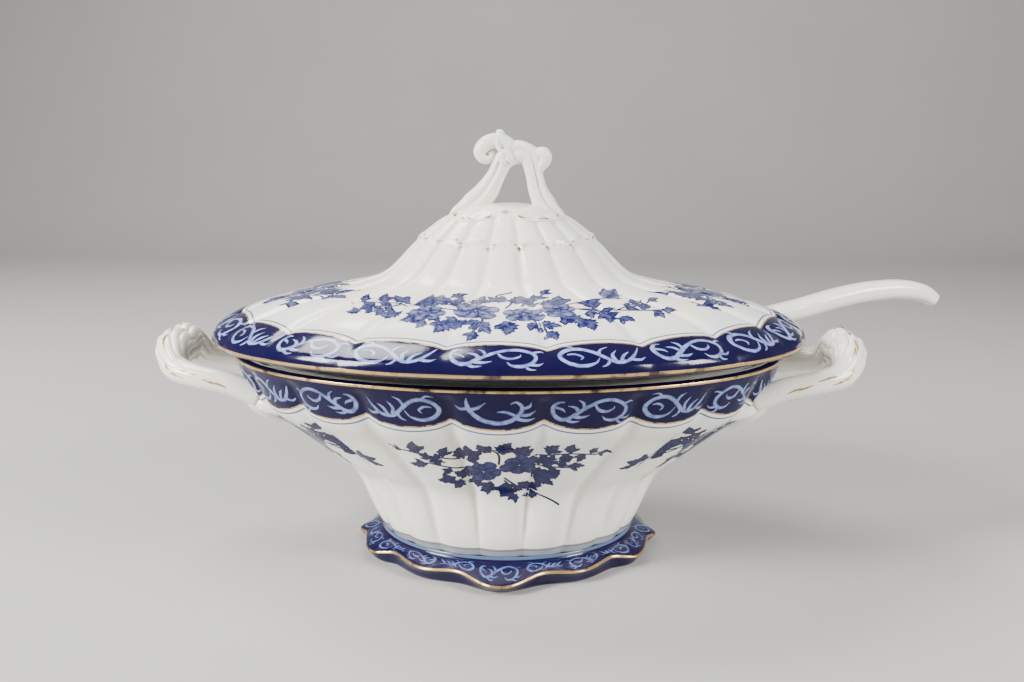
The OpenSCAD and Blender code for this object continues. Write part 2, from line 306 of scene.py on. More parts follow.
def shell(name, rings, maps, body, material, caps=True, replaced=()):
    """A closed body of rings (rows, columns, 3), with a fan at each open end.

    maps holds arrays (rows, columns + 1, 2): the extra column repeats the first one's place.
    """
    rows, cols = rings.shape[:2]
    i, j = (q.ravel() for q in np.meshgrid(np.arange(rows - 1), np.arange(cols), indexing="ij"))
    points = rings.reshape(-1, 3)
    faces, values = [], {key: [] for key in maps}

    def add_faces(corners, middle=None):
        """Faces between places (row, column). A cap's last corner is the point in its middle."""
        ids = [row * cols + col % cols for row, col in corners]
        if middle is not None:
            ids[-1] = np.full(cols, middle)
        faces.append(np.stack(ids, 1))
        for key, values_at in maps.items():
            values[key] += [np.stack([values_at[p] for p in corners], 1).reshape(-1, 2)]

    add_faces([(i, j), (i, j + 1), (i + 1, j + 1), (i + 1, j)])
    if caps:
        j = np.arange(cols)
        for row, one, two in ((0, 1, 0), (rows - 1, 0, 1)):
            add_faces([(row, j + one), (row, j + two), (row, j)], len(points))
            points = np.vstack([points, rings[row].mean(0)])
    maps = {key: np.concatenate(parts) for key, parts in values.items()}
    return make_mesh(name, points, faces, maps, body, material, replaced=replaced)


def inset(line, width):
    """A profile line moved in square to itself."""
    d = np.gradient(line, axis=0)
    u = width / np.hypot(d[:, 0], d[:, 2])
    return np.stack([line[:, 0] - u * d[:, 2], line[:, 1] - u * d[:, 2],
                     line[:, 2] + u * d[:, 0], line[:, 3]], 1)


def round_angles(n):
    """n + 1 angles round the oval, the last a whole turn after the first."""
    return -90 + FLUTE_T / 2 + np.linspace(0, 360, n + 1)


# ---- materials
class Nodes:
    """Short names for the nodes that the materials are built from."""

    def __init__(self, name):
        self.material = bpy.data.materials.new(name)
        self.material.use_nodes = True
        self.tree = self.material.node_tree
        self.tree.nodes.clear()
        self.shader = self.node("BsdfPrincipled", {})
        self.node("OutputMaterial", {0: self.shader.outputs[0]})

    def join(self, source, target):
        if isinstance(source, (int, float)):
            target.default_value = source
        elif isinstance(source, tuple):
            target.default_value = (*source, 1)
        else:
            self.tree.links.new(source, target)

    def node(self, kind, inputs):
        """A node with its inputs set or linked, by name or number."""
        node = self.tree.nodes.new("ShaderNode" + kind)
        for key, source in inputs.items():
            self.join(source, node.inputs[key])
        return node

    def math(self, operation, a, b=0.0):
        node = self.node("Math", {0: a, 1: b})
        node.operation = operation
        return node.outputs[0]

    def add(self, a, b):
        return self.math("ADD", a, b)

    def sub(self, a, b):
        return self.math("SUBTRACT", a, b)

    def mul(self, a, b):
        return self.math("MULTIPLY", a, b)

    def step(self, value, low, high):
        """0 below low, 1 above high and smooth between them; low above high turns it round."""
        node = self.node("MapRange", {
            "Value": value, "From Min": min(low, high), "From Max": max(low, high),
            "To Min": float(low > high), "To Max": float(low <= high)})
        node.interpolation_type = "SMOOTHSTEP"
        return node.outputs[0]

    def band(self, value, middle, half, blur):
        """1 within half of middle, fading to 0 over blur."""
        return self.step(self.math("ABSOLUTE", self.sub(value, middle)), half + blur, half)

    def mix(self, factor, a, b):
        node = self.node("Mix", {0: factor, 6: a, 7: b})
        node.data_type = "RGBA"
        return node.outputs[2]

    def map(self, name):
        node = self.node("UVMap", {})
        node.uv_map = name
        return self.node("SeparateXYZ", {0: node.outputs[0]}).outputs[:2]

    def noise(self, size, detail=3.0, rough=0.55):
        """Noise in the object's own space with features about size metres across."""
        where = self.node("TexCoord", {}).outputs["Object"]
        return self.node("TexNoise", {"Vector": where, "Scale": 1 / size, "Detail": detail,
                                      "Roughness": rough}).outputs[0]

    def bump(self, height, distance):
        node = self.node("Bump", {"Height": height, "Distance": distance, "Strength": 1.0})
        self.join(node.outputs[0], self.shader.inputs["Normal"])

    def finish(self, colour, roughness, metallic=0.0):
        self.join(colour, self.shader.inputs["Base Color"])
        self.join(roughness, self.shader.inputs["Roughness"])
        self.join(metallic, self.shader.inputs["Metallic"])
        return self.material


WHITE = (0.88, 0.845, 0.725)
WHITE_COOL = (0.80, 0.80, 0.75)
COBALT = (0.002, 0.002, 0.032)
INDIGO = (0.007, 0.003, 0.034)
PRINT = (0.003, 0.004, 0.042)
PRINT_GREY = (0.024, 0.030, 0.13)
GILT = (0.66, 0.44, 0.17)
BROWN = (0.07, 0.04, 0.02)


def glaze_skin(n):
    """The slight unevenness of a glazed surface."""
    ripple = n.noise(0.011, 1.0)
    orange = n.noise(0.0016, 1.0)
    height = n.add(ripple, n.mul(orange, 0.06))
    n.bump(height, 0.00022)
    n.shader.inputs["IOR"].default_value = 1.47
    return n.add(0.10, n.mul(n.noise(0.03, 4.0), 0.09))


def white_colour(n):
    """White glaze: a little cooler and greyer in broad patches, with a few iron specks."""
    patches = n.step(n.noise(0.06, 3.0), 0.35, 0.75)
    colour = n.mix(patches, WHITE, WHITE_COOL)
    specks = n.step(n.noise(0.0022, 1.0), 0.79, 0.83)
    return n.mix(n.mul(specks, 0.5), colour, (0.30, 0.24, 0.16))


def cobalt_colour(n):
    cloud = n.step(n.noise(0.012, 5.0, 0.6), 0.30, 0.70)
    return n.mix(cloud, COBALT, INDIGO)


def worn(n, mask, size=0.004, low=0.42, high=0.52):
    """A gilt line rubbed away in places."""
    return n.mul(mask, n.step(n.noise(size, 4.0), low, high))


def white_material():
    n = Nodes("white_glaze")
    roughness = glaze_skin(n)
    return n.finish(white_colour(n), roughness)


def edge_line(n, u, cusp, swing):
    """The wavy edge of a printed band: v at the creases is cusp, and swing more mid-flute."""
    w = n.sub(n.math("FRACT", u), 0.5)
    lobe_n = n.sub(1.0, n.mul(n.mul(w, w), 4.0))
    return n.add(cusp, n.mul(lobe_n, swing))


def printed_band(n, inside, colour):
    """A cobalt band: inside is the distance in mm into the band from its wavy edge."""
    haze = n.mul(n.step(inside, -16.0, -1.0), 0.30)
    colour = n.mix(haze, colour, (0.42, 0.52, 0.68))
    outline = n.band(inside, -2.3, 0.28, 0.25)
    colour = n.mix(n.mul(outline, 0.85), colour, PRINT)
    colour = n.mix(n.step(inside, -0.25, 0.15), colour, cobalt_colour(n))
    line = n.band(inside, 0.1, 0.30, 0.20)
    colour = n.mix(n.mul(line, 0.8), colour, BROWN)
    return colour, n.mul(worn(n, line), 0.9)


def gilded(n, colour, roughness, gold, rougher):
    """The finished material, with gilt where gold is 1."""
    return n.finish(n.mix(gold, colour, GILT), n.add(roughness, n.mul(gold, rougher)),
                    n.mul(gold, 0.9))


def printed_material(name, cusp, swing, sign, gilt_edges, over, base_ring=0.0, specular=0.45):
    """White glaze with one printed band. sign is 1 if the band lies above its wavy edge.

    The map "place" holds the flute count and v, and "edge" the distance from the gilt edge.
    The band goes over the edge for so many millimetres. Over the bowl's rim this is print.
    Under the lid's brim it is painted shade: cobalt that stands in for the shadow in the gap
    between lid and bowl.
    """
    n = Nodes(name)
    n.shader.inputs["Specular IOR Level"].default_value = specular
    roughness = glaze_skin(n)
    u, v = n.map("place")
    from_edge, _ = n.map("edge")
    inside = n.mul(n.sub(v, edge_line(n, u, cusp, swing)), sign)
    # The side that takes the band. Under the lid's brim this side is painted shade, not print.
    outer = n.step(from_edge, -over - 0.5, -over)
    white = white_colour(n)
    colour, gold = printed_band(n, inside, white)
    if base_ring:
        ring = n.step(v, base_ring + 0.4, base_ring)
        tint = n.mix(n.noise(0.006, 4.0), (0.10, 0.13, 0.18), (0.21, 0.26, 0.31))
        colour = n.mix(n.mul(ring, 0.8), colour, tint)
        line = n.band(v, base_ring + 0.5, 0.35, 0.4)
        colour = n.mix(n.mul(line, 0.7), colour, PRINT)
    colour = n.mix(outer, white, colour)
    low, high = gilt_edges
    rim = n.mul(n.step(from_edge, low - 0.3, low), n.step(from_edge, high + 0.3, high))
    gold = n.math("MAXIMUM", n.mul(gold, outer), worn(n, rim, 0.009, 0.34, 0.52))
    colour = n.mix(n.mul(rim, 0.9), colour, BROWN)
    matt = n.mul(n.step(from_edge, -0.8, -1.4), outer)
    return gilded(n, colour, n.add(roughness, n.mul(matt, 0.45)), gold, 0.14)


def foot_material(edge_v, top_v):
    n = Nodes("cobalt_glaze")
    roughness = glaze_skin(n)
    _, v = n.map("place")
    away = n.sub(v, edge_v)
    colour = cobalt_colour(n)
    bare = n.step(v, 0.5, 0.0)
    colour = n.mix(bare, colour, (0.55, 0.50, 0.42))
    top = n.step(v, top_v - 1.6, top_v - 1.0)
    colour = n.mix(n.mul(top, 0.8), colour, (0.10, 0.15, 0.28))
    rim = n.band(away, 0.3, 0.55, 0.3)
    colour = n.mix(n.mul(rim, 0.7), colour, BROWN)
    return gilded(n, colour, roughness, worn(n, rim, 0.010, 0.36, 0.50), 0.15)


def transfer_material(name, dark, light, spread):
    """Printed colour: the map "tone" says how light, and cloudy noise waters it down."""
    n = Nodes(name)
    roughness = glaze_skin(n)
    tone, _ = n.map("tone")
    cloud = n.step(n.noise(0.0035, 4.0, 0.6), 0.30, 0.72)
    factor = n.add(tone, n.mul(n.sub(cloud, 0.5), spread))
    factor = n.math("MINIMUM", n.math("MAXIMUM", factor, 0.0), 1.0)
    return n.finish(n.mix(factor, dark, light), roughness)


def gilt_material():
    n = Nodes("gilt_touch")
    rubbed = n.step(n.noise(0.003, 4.0), 0.38, 0.56)
    colour = n.mix(rubbed, (0.20, 0.12, 0.05), GILT)
    n.bump(n.noise(0.002, 2.0), 0.0001)
    return n.finish(colour, n.add(0.22, n.mul(n.noise(0.004), 0.15)),
                    n.mul(rubbed, 0.85))


BOWL_CUSP = bowl.v_of_height(0.838 * RIM_H)
BOWL_SWING = -4.2
LID_CUSP = lid.v_of_key(2.3)
LID_SWING = 4.4
GILT_EDGE = foot.v_of_key(3.1)

white_glaze = white_material()
bowl_glaze = printed_material("bowl_print", BOWL_CUSP, BOWL_SWING, 1.0,
                              (-0.3, 0.55), 2.4, base_ring=3.4, specular=0.24)
# The 9.5 mm of band under the lid's brim is painted shade, darkening the gap between lid and bowl.
lid_glaze = printed_material("lid_print_and_painted_shade", LID_CUSP, LID_SWING, -1.0, (-0.2, 0.45), 9.5)
foot_glaze = foot_material(GILT_EDGE, foot.length)
printed = {row[0]: transfer_material(*row) for row in (
    ("scroll_print", (0.025, 0.035, 0.18), (0.27, 0.34, 0.60), 0.9),
    ("bowl_scroll_print", (0.02, 0.03, 0.15), (0.20, 0.26, 0.47), 0.9),
    ("foot_scroll_print", (0.015, 0.02, 0.11), (0.11, 0.15, 0.38), 1.1),
    ("flower_print", PRINT, PRINT_GREY, 0.5),
    ("lid_flower_print", (0.008, 0.010, 0.085), (0.20, 0.22, 0.36), 0.5))}
printed["gilt_touch"] = gilt = gilt_material()


# ---- bowl, foot and lid
ROUND = FLUTES * 24


def place_map(t, v):
    """The pattern's own coordinates: flutes counted from the front, and v."""
    return np.stack(np.broadcast_arrays((t + 90) / FLUTE_T + 0.5, v), -1)


def make_bowl():
    t = round_angles(ROUND)
    v = np.linspace(0, bowl.length, 110)
    outer, _ = bowl.at(t[None, :-1], v[:, None])
    arc = np.linspace(0, np.pi, 9)[1:-1]
    in_from_rim = WALL / 2 * (1 - np.cos(arc))
    lip = np.stack([RIM_A - in_from_rim, RIM_B - in_from_rim, RIM_H - 1.5 + 1.5 * np.sin(arc),
                    0 * arc], 1)
    line = inset(bend(BOWL_KEYS, steps(BOWL_KEYS, 60)), WALL)[::-1]
    floor_z = FOOT_H + WALL + 1
    line = line[line[:, 2] > floor_z + 3]
    a, b = line[-1, :2]
    floor = [(a - 1.5, b - 1.5, floor_z + 1.4, 0.5), (a - 5, b - 5, floor_z, 0)]
    floor += [(f * a, f * b, floor_z, 0) for f in (0.6, 0.3, 0.05)]
    under = np.array([(f * WAIST_A, f * WAIST_B, FOOT_H, 0) for f in (0.05, 0.5, 0.96)])
    inner = bowl.place(t[None, :-1], np.vstack([lip, line, floor])[:, None])
    rings = np.concatenate([bowl.place(t[None, :-1], under[:, None]), outer, inner])
    past = np.arange(1, len(inner) + 1)  # rows past the rim, where v and the edge's map run on
    v_all = np.concatenate([[-60, -30, -3], v, bowl.length + 0.8 * past])[:, None]
    edge = np.concatenate([[60, 30, 3] + bowl.length, bowl.length - v, -0.44 * past])[:, None]
    maps = {"place": place_map(t[None], v_all),
            "edge": np.stack(np.broadcast_arrays(edge, 0 * t[None]), -1)}
    shell("bowl_body", rings, maps, "tureen", bowl_glaze, replaced=["tureen_bowl"])


def make_foot():
    t = round_angles(ROUND)
    v = np.linspace(0, foot.length, 44)
    outer, _ = foot.at(t[None, :-1], v[:, None])
    hollow = np.array([(WAIST_A - q, WAIST_B - q, z, 0, 0) for q, z in (
        (8, FOOT_H - 0.1), (7.4, 8), (6.2, 4), (4.8, 0.8), (3.4, 0))])
    inner = foot.place(t[None, :-1], hollow[:, None])
    base = foot.place(t[None, :-1], np.array([[(FOOT_A - 5.2, FOOT_B - 7, 0.0, 0.62, 0)]]))
    rings = np.concatenate([base, outer, inner, base])
    v_all = np.concatenate([[-1], v, foot.length + np.arange(1, 6), [-1]])
    v_all[-6:-2] = 6.0
    maps = {"place": place_map(t[None], v_all[:, None])}
    shell("scalloped_foot", rings, maps, "tureen", foot_glaze, caps=False,
          replaced=["pedestal_foot"])


def make_lid():
    t = round_angles(ROUND)
    r = np.linspace(0, 1, 158)[:, None]
    r = r - 0.06 * np.sin(2 * np.pi * r)
    start = lid.edge(t[None])
    v = start + r * (lid.length - start)
    outer, _ = lid.at(t[None, :-1], v[:, :-1])
    thin = inset(bend(LID_KEYS, steps(LID_KEYS, 97)), WALL - 0.5)
    first = int(np.ceil(NOTCH_KEYS * 8)) + 1
    inner_keys = np.vstack([BRIM_KEYS, thin[first:]])
    rows = len(inner_keys) - 1
    cut = len(BRIM_KEYS) * notch(t[None, :-1])
    x = cut + np.linspace(0, 1, 40)[:, None] * (rows - cut)
    inner = lid.place(t[None, :-1], straight(inner_keys, x))[::-1]
    rings = np.concatenate([inner, outer])
    # Under the brim the edge map runs negative, and the lid's material paints shade there for 9.5
    # mm.
    below = -np.linspace(90, 0.7, 40)[:, None] + 0 * t[None]
    v_all = np.concatenate([below + start, v])
    edge = np.concatenate([below - 3.5 * notch(t[None]), v - start])
    maps = {"place": place_map(t[None], v_all - lid.band(t[None])),
            "edge": np.stack([edge, 0 * edge], -1)}
    shell("lid_body", rings, maps, "lid", lid_glaze, replaced=["lid_shell"])


# ---- rods: handles, finial, ladle
UP, BACK = (0, 0, 1), (0, 1, 0)
ENDS = ((-1, "front"), (1, "back"))


def rod_rings(keys, rows, sides, side, section=None):
    """Rings along a smooth path through keys [x, y, z, half width across, half width along]."""
    x = steps(keys, rows)
    line = bend(keys, x)
    run = unit(np.gradient(line[:, :3], axis=0))
    across = unit(np.cross(np.broadcast_to(np.array(side, float), run.shape), run))
    along = np.cross(run, across)
    angle = np.linspace(0, 2 * np.pi, sides + 1)[None, :-1]
    s = np.linspace(0, 1, rows)[:, None]
    scale = np.ones((rows, sides)) if section is None else section(angle, s)
    ends = np.sqrt(np.clip(1 - np.clip(1 - np.minimum(s, 1 - s) * rows / 3, 0, 1) ** 2, 0.02, 1))
    ring = (across[:, None] * (line[:, None, 3:4] * np.cos(angle)[..., None])
            + along[:, None] * (line[:, None, 4:5] * np.sin(angle)[..., None]))
    return line[:, None, :3] + ring * (scale * ends)[..., None]


def rod(name, rings, body, replaced=(), material=white_glaze):
    return shell(name, rings, {}, body, material, replaced=replaced)


def swept(name, body, keys, rows, sides, side, section=None, replaced=(), material=white_glaze):
    return rod(name, rod_rings(keys, rows, sides, side, section), body, replaced, material)


def touch(name, body, points, *widths):
    """A gilt stroke through points."""
    swept(name, body, np.column_stack([points, *widths]), 30, 12, UP, material=gilt)


def handle_keys(way):
    """One arm, the two-lobed crest and the other arm of a handle."""
    arm, end, root = 5.75, RIM_A + 41.5, 0.885 * RIM_A
    one = [(root - 3, 31, -20, 0.8, 0.9), (root + 11, 30, -14, 1, 1), (root + 27, 28, -10.8, 1, 1),
           (end - 17, 22.5, -8, 1.1, 1.15), (end - 12, 15, -2.5, 1.4, 1.6),
           (end - 11, 8, -0.5, 1.65, 1.85), (end - 11.5, 2.5, -1.5, 1.4, 1.6)]
    rear = [(way * x, y, RIM_H + z, w * arm, h * arm) for x, y, z, w, h in one]
    return rear + [(x, -y, z, w, h) for x, y, z, w, h in reversed(rear)]


def ribs(angle, s):
    """Rope-like ribs that rise out of the plain arms and run over the crest into the cleft."""
    crest = soft(0.36, 0.14, np.abs(s - 0.5))
    groove = (1 - np.abs(np.sin(5.5 * angle + 2.2 * (s - 0.5)))) ** 2
    return 0.985 - 0.17 * crest * groove


def make_handles():
    for way, name in ((-1, "left_handle"), (1, "right_handle")):
        rings = rod_rings(handle_keys(way), 260, 88, UP, ribs)
        rod(name + "_rope", rings, "tureen", [name])
        for front, end in ENDS:
            make_root(f"{name}_leaf_{end}", way, front)
            make_handle_strokes(f"{name}_gilt_{end}", rings, way, front)


# Start and end along half the handle, where the stroke faces at each, and its half width.
HANDLE_STROKES = [
    (0.88, 0.97, (0.3, 1, 0.9), (0.5, 0.9, 0.5), 0.75),
    (0.82, 0.92, (0.2, 1, 0.5), (0.4, 1, 0.1), 0.65),
    (0.74, 0.80, (0, 1, 0.9), (0.1, 1, 0.5), 0.70), (0.57, 0.68, (0, 1, 0.1), (0, 1, 0.5), 0.60),
    (0.36, 0.50, (0, 1, -0.2), (0, 1, 0), 0.50), (0.30, 0.42, (0, 1, 0.4), (0, 1, 0.5), 0.50),
    (0.86, 0.95, (0.6, 0.7, 0.5), (0.8, 0.5, 0.4), 0.60),
    (0.93, 0.99, (-0.2, 0.5, 1), (0.3, 0.5, 0.9), 0.60),
    (0.16, 0.28, (0, 1, -0.1), (0, 1, 0.2), 0.50),
]


def make_handle_strokes(name, rings, way, front):
    """Rubbed gilt brush strokes over the crest's ribs and along the arms."""
    run = np.linspace(0, 1, 6)
    for k, (start, end, face_from, face_to, width) in enumerate(HANDLE_STROKES):
        points = []
        for f in run:
            share = 0.5 * (start + (end - start) * f)
            ring = rings[int((share if front > 0 else 1 - share) * (len(rings) - 1))]
            face = np.array(face_from) + (np.array(face_to) - np.array(face_from)) * f
            away = unit(ring - ring.mean(0))
            nearest = np.argmax(away @ unit(face * (way, front, 1)))
            points.append(ring[nearest] + 0.2 * away[nearest])
        thick = width * (0.2 + 0.8 * np.sin(np.pi * run))
        touch(f"{name}_{k}", "tureen", points, thick, thick)


def make_root(name, way, front):
    """The leaf tails that an arm trails down the bowl's wall."""
    t0 = math.degrees(math.atan2(31 / RIM_B, 0.885))
    for k, (turn, drop, size) in enumerate(((0, 21, 5.0), (6.5, 15, 3.4), (-6.5, 13, 3.0))):
        t = front * (t0 + np.array([-1, 0, 0.6 * turn, turn, 1.5 * turn]))
        v = bowl.v_of_height(RIM_H - 17) - drop * np.array([0, 0.2, 0.5, 0.8, 1.0])
        points, _ = bowl.at(180 - t if way < 0 else t, v)
        width = size * np.array([0.9, 1.0, 0.85, 0.5, 0.12])
        swept(f"{name}_{k}", "tureen", np.column_stack([points, width, 0.8 * width]), 40, 28, BACK)


def groove(angle, s):
    """A leg with a groove down its front and its back."""
    cut = np.exp(-((np.cos(angle) + 0.22) / 0.22) ** 2)
    foot_flare = 1 + 0.12 * soft(0.12, 0.0, np.minimum(s, 1 - s)) * np.cos(3 * angle) ** 2
    return (0.99 - 0.36 * cut) * foot_flare


def make_finial():
    leg = 4.3
    h = FINIAL_TOP - TOP_Z

    def part(name, rows, sides, size, keys, section=None, replaced=()):
        """Keys are x, y, height as a share of the finial's, half width and half depth in sizes."""
        keys = [(x, y, TOP_Z + h * z, w * size, d * size) for x, y, z, w, d in keys]
        swept(f"finial_{name}", "lid", keys, rows, sides, BACK, section, replaced)

    part("arch", 180, 56, leg, [
        (-27.5, 0, -7.0 / h, 0.3, 0.55), (-24.5, 0, -4.6 / h, 0.72, 1),
        (-17.5, 0, -1.5 / h, 1.4, 1.3), (-10.5, 0, 0.14, 1.35, 1.15), (-5.2, 0, 0.38, 1.05, 1),
        (-1.5, 0, 0.58, 1.15, 1), (4.5, 0, 0.685, 1.35, 1.05), (10.5, 0, 0.63, 1.2, 1),
        (13, 0, 0.42, 1, 1),
        (15.2, 0, 0.17, 1.1, 1.1), (19.2, 0, -1.5 / h, 1.3, 1.25), (24.6, 0, -5.4 / h, 0.75, 1),
        (28, 0, -8.3 / h, 0.3, 0.5)], groove, ["lid_finial"])
    part("hook", 130, 40, leg, [
        (2, 0, 0.74, 0.95, 0.9), (-3.2, 0, 0.835, 0.9, 0.95), (-9.3, 0, 0.81, 0.9, 1),
        (-12.8, 0, 0.7, 0.82, 0.95), (-11.6, 0, 0.605, 0.62, 0.85), (-8.4, 0, 0.6, 0.5, 0.7),
        (-7.2, 0, 0.65, 0.42, 0.6), (-8.8, 0, 0.69, 0.3, 0.5)])
    part("bud", 50, 32, 1, [
        (-2.6, 0, 0.77, 3.4, 3.6), (-3.0, 0, 0.88, 2.8, 3.2), (-3.3, 0, 0.93, 2.3, 2.6),
        (-3.5, 0, 0.97, 1.8, 1.9), (-3.5, 0, 0.99, 0.9, 0.9), (-3.5, 0, 0.995, 0.3, 0.3)])
    part("knob", 90, 40, leg, [
        (9.5, 0, 0.73, 0.75, 0.85), (14, 0, 0.665, 0.72, 0.85), (17.6, 0, 0.655, 0.86, 0.95),
        (18.2, 0, 0.58, 0.8, 0.9), (16.2, 0, 0.48, 0.6, 0.8), (14.4, 0, 0.38, 0.4, 0.6)])
    run = np.linspace(0, 1, 14)
    turn = np.radians(360 * run - 60)
    for side, end in ENDS:
        part(f"curl_{end}", 70, 20, 1, np.column_stack([
            1.7 * np.cos(turn) - 0.6, side * (3.7 + 0 * turn), 0.62 + 2.3 / h * np.sin(turn),
            2.2 - 0.5 * run, 2.3 - 0.5 * run]))
        part(f"fold_{end}", 50, 20, 1, [
            (-3.2, 1.2 * side, 0.93, 1.0, 1.2), (-4.6, 3.0 * side, 0.84, 1.3, 1.6),
            (-3.6, 3.9 * side, 0.74, 1.3, 1.6), (-1.6, 4.0 * side, 0.68, 0.9, 1.2)])


def make_lid_scrolls():
    """The moulded ovals on the cone, under the finial, front and back."""
    base_v = lid.v_of_height(TOP_Z - 5.8)

    def oval(middle, start, end, count, further, lift):
        turn = np.radians(np.linspace(start, end, count))
        return lid.at(middle + 23 * np.cos(turn), base_v + 2.7 * np.sin(turn) + further, lift)[0]

    width = np.interp(np.arange(18), [0, 2, 6, 13, 17], [0.9, 0.6, 1.1, 0.9, 0.7])
    for front, end in ENDS:
        for away, side in ((-37, "left"), (37, "right")):
            name, middle = f"cone_scroll_{end}_{side}", 90 * front + away
            points = oval(middle, 150, 400, 18, 0, 0.1)
            swept(name, "lid", np.column_stack([points, width, 0.9 * width]), 80, 16, UP)
            for k, (first, last) in enumerate(((160, 232), (250, 292), (318, 376))):
                touch(f"{name}_gilt_{k}", "lid", oval(middle, first, last, 6, 0.25, 0.85),
                      [0.1, 0.45, 0.6, 0.55, 0.35, 0.1], [0.1, 0.4, 0.5, 0.45, 0.3, 0.1])


def make_flange():
    """The ring under the lid, open where the ladle passes."""
    a, b = RIM_A - WALL - 4.5, RIM_B - WALL - 4.5
    gap = 12
    t = np.radians(NOTCH_T + np.linspace(gap, 360 - gap, 300))[:, None]
    low, high, thick, r = SEAT_Z - 7, SEAT_Z + 1.5, 4, 0.8
    x, z = np.array([(0, high), (0, low + r), (-0.3 * r, low + 0.3 * r), (-r, low),
                     (r - thick, low), (0.3 * r - thick, low + 0.3 * r), (-thick, low + r),
                     (-thick, high)]).T
    rings = np.stack([(a + x) * np.cos(t), (b + x) * np.sin(t), z + 0 * t], -1)
    rod("lid_seating_ring", rings, "lid", ["lid_locating_flange"])


def turned_to_ladle(points):
    return points @ np.array([[LADLE_COS, LADLE_SIN, 0], [-LADLE_SIN, LADLE_COS, 0], [0, 0, 1]])


def make_ladle():
    cup_r, cup_x, cup_h, wall, lip = 35, -8, 26, 3.5, 1.2
    cup_z = box_mm("ladle_bowl")[0][2]
    r_in = cup_r - wall
    deep = cup_r - cup_h
    out = np.linspace(0.02, math.acos(deep / cup_r), 40)
    over = np.linspace(0.3, math.pi - 0.3, 9)
    inside = np.linspace(math.acos(deep / r_in), 0.02, 34)
    edge_r = cup_r * math.sin(out[-1])
    x = np.concatenate([cup_r * np.sin(out), edge_r - wall / 2 + wall / 2 * np.cos(over),
                        r_in * np.sin(inside)])[:, None]
    z = np.concatenate([cup_r - cup_r * np.cos(out), cup_h - lip + lip * np.sin(over),
                        cup_r - r_in * np.cos(inside)])[:, None]
    angle = np.linspace(0, 2 * np.pi, 161)[:-1]
    rings = np.stack([x * np.cos(angle) + cup_x, x * np.sin(angle), z + cup_z + 0 * angle], -1)
    rod("ladle_cup", turned_to_ladle(rings), "ladle", ["ladle_bowl"])
    half_w, thin = 7, 4.4
    start = cup_x + cup_r
    rim = 1 / math.hypot(LADLE_COS / RIM_A, LADLE_SIN / RIM_B)
    path = [(start - 2.4, 0, cup_z + 15, 2.6, 0.7 * half_w),
            (start + 5, 0, cup_z + 30, 3.6, 0.8 * half_w),
            (start + 38, 0, RIM_H - 36, thin, 0.9 * half_w)]
    path += [(rim + x, 0, RIM_H + z, w * thin, d * half_w) for x, z, w, d in (
        (-24, -5.3, 1, 1), (0, 6.8, 1, 1), (14, 9, 1.1, 1), (35, 12.4, 1.2, 1), (57, 17.2, 1.2, 1),
        (77, 20.2, 1.2, 1), (97, 20.8, 1.2, 1.05), (111, 18.4, 1.15, 1), (119.5, 14, 0.9, 0.85))]

    def squarish(angle, _):
        power = 2.6
        total = np.abs(np.cos(angle)) ** power + np.abs(np.sin(angle)) ** power
        return 0.995 * total ** (-1 / power)

    rings = turned_to_ladle(rod_rings(path, 200, 56, (0, -1, 0), squarish))
    rod("ladle_stem", rings, "ladle", ["ladle_handle"])


# ---- transfers: printed strokes
class Transfer:
    """Thin printed or gilt shapes that lie just off a wall, gathered into one piece.

    Shapes are drawn in millimetres about a spot (t0, v0) of the wall: x round it to the right
    and y up the profile. tone runs from 0, dark, to 1, light.
    """

    COLUMNS = 5

    def __init__(self, wall, lift=0.05):
        self.wall = wall
        self.lift = lift
        self.points, self.normals, self.faces, self.tones = [], [], [], []

    def ribbon(self, spot, keys, tone=0.5, step=0.8, flip=1, layer=0, serrate=0.0):
        """A stroke through keys [x, y, half width]. A number or one tone per column colours it."""
        k = np.array(keys, float)
        k[:, 0] *= flip
        length = np.sum(np.hypot(*np.diff(k[:, :2], axis=0).T))
        rows = max(int(length / step), 2 * len(k), 6)
        line = bend(k, steps(k, rows))
        run = unit(np.gradient(line[:, :2], axis=0))
        side = np.stack([-run[:, 1], run[:, 0]], 1)
        width = np.maximum(line[:, 2], 0.03)
        if serrate:
            width = width * (1 + serrate * np.sin(np.arange(rows) * 2.1))
        across = np.linspace(-1, 1, self.COLUMNS)
        x, y = (line[:, q, None] + side[:, q, None] * width[:, None] * across for q in (0, 1))
        t0, v0 = spot
        v = v0 + y
        t = t0 + x / self.wall.mm_per_degree(np.full_like(v, t0), np.clip(v, 0, self.wall.length))
        points, normals = self.wall.at(t, v, self.lift + 0.02 * layer)
        points, normals = points.reshape(-1, 3), normals.reshape(-1, 3)
        cols = self.COLUMNS
        i, j = np.meshgrid(np.arange(rows - 1), np.arange(cols - 1), indexing="ij")
        k = (i * cols + j).ravel()
        quads = np.stack([k, k + 1, k + cols + 1, k + cols], 1)
        a, b, c = (points[quads[:, q]] for q in range(3))
        turned_over = np.sum(np.cross(b - a, c - a) * normals[k], 1) < 0
        quads[turned_over] = quads[turned_over][:, ::-1]
        self.faces.append(quads + sum(map(len, self.points)))
        self.points.append(points)
        self.normals.append(normals)
        self.tones.append(np.broadcast_to(tone, t.shape).ravel())

    def piece(self, name, body, slot, print_name):
        tone = np.concatenate(self.tones)
        faces = np.concatenate(self.faces)
        maps = {"tone": np.stack([tone[faces.ravel()], 0 * faces.ravel()], 1)}
        make_mesh(name, np.concatenate(self.points), [faces], maps, body,
                  printed[print_name], normals=np.concatenate(self.normals))


def table(text):
    """Rows of numbers from text, where commas part the rows and spaces the numbers."""
    return [[float(n) if "." in n else int(n) for n in row.split()] for row in text.split(",")]


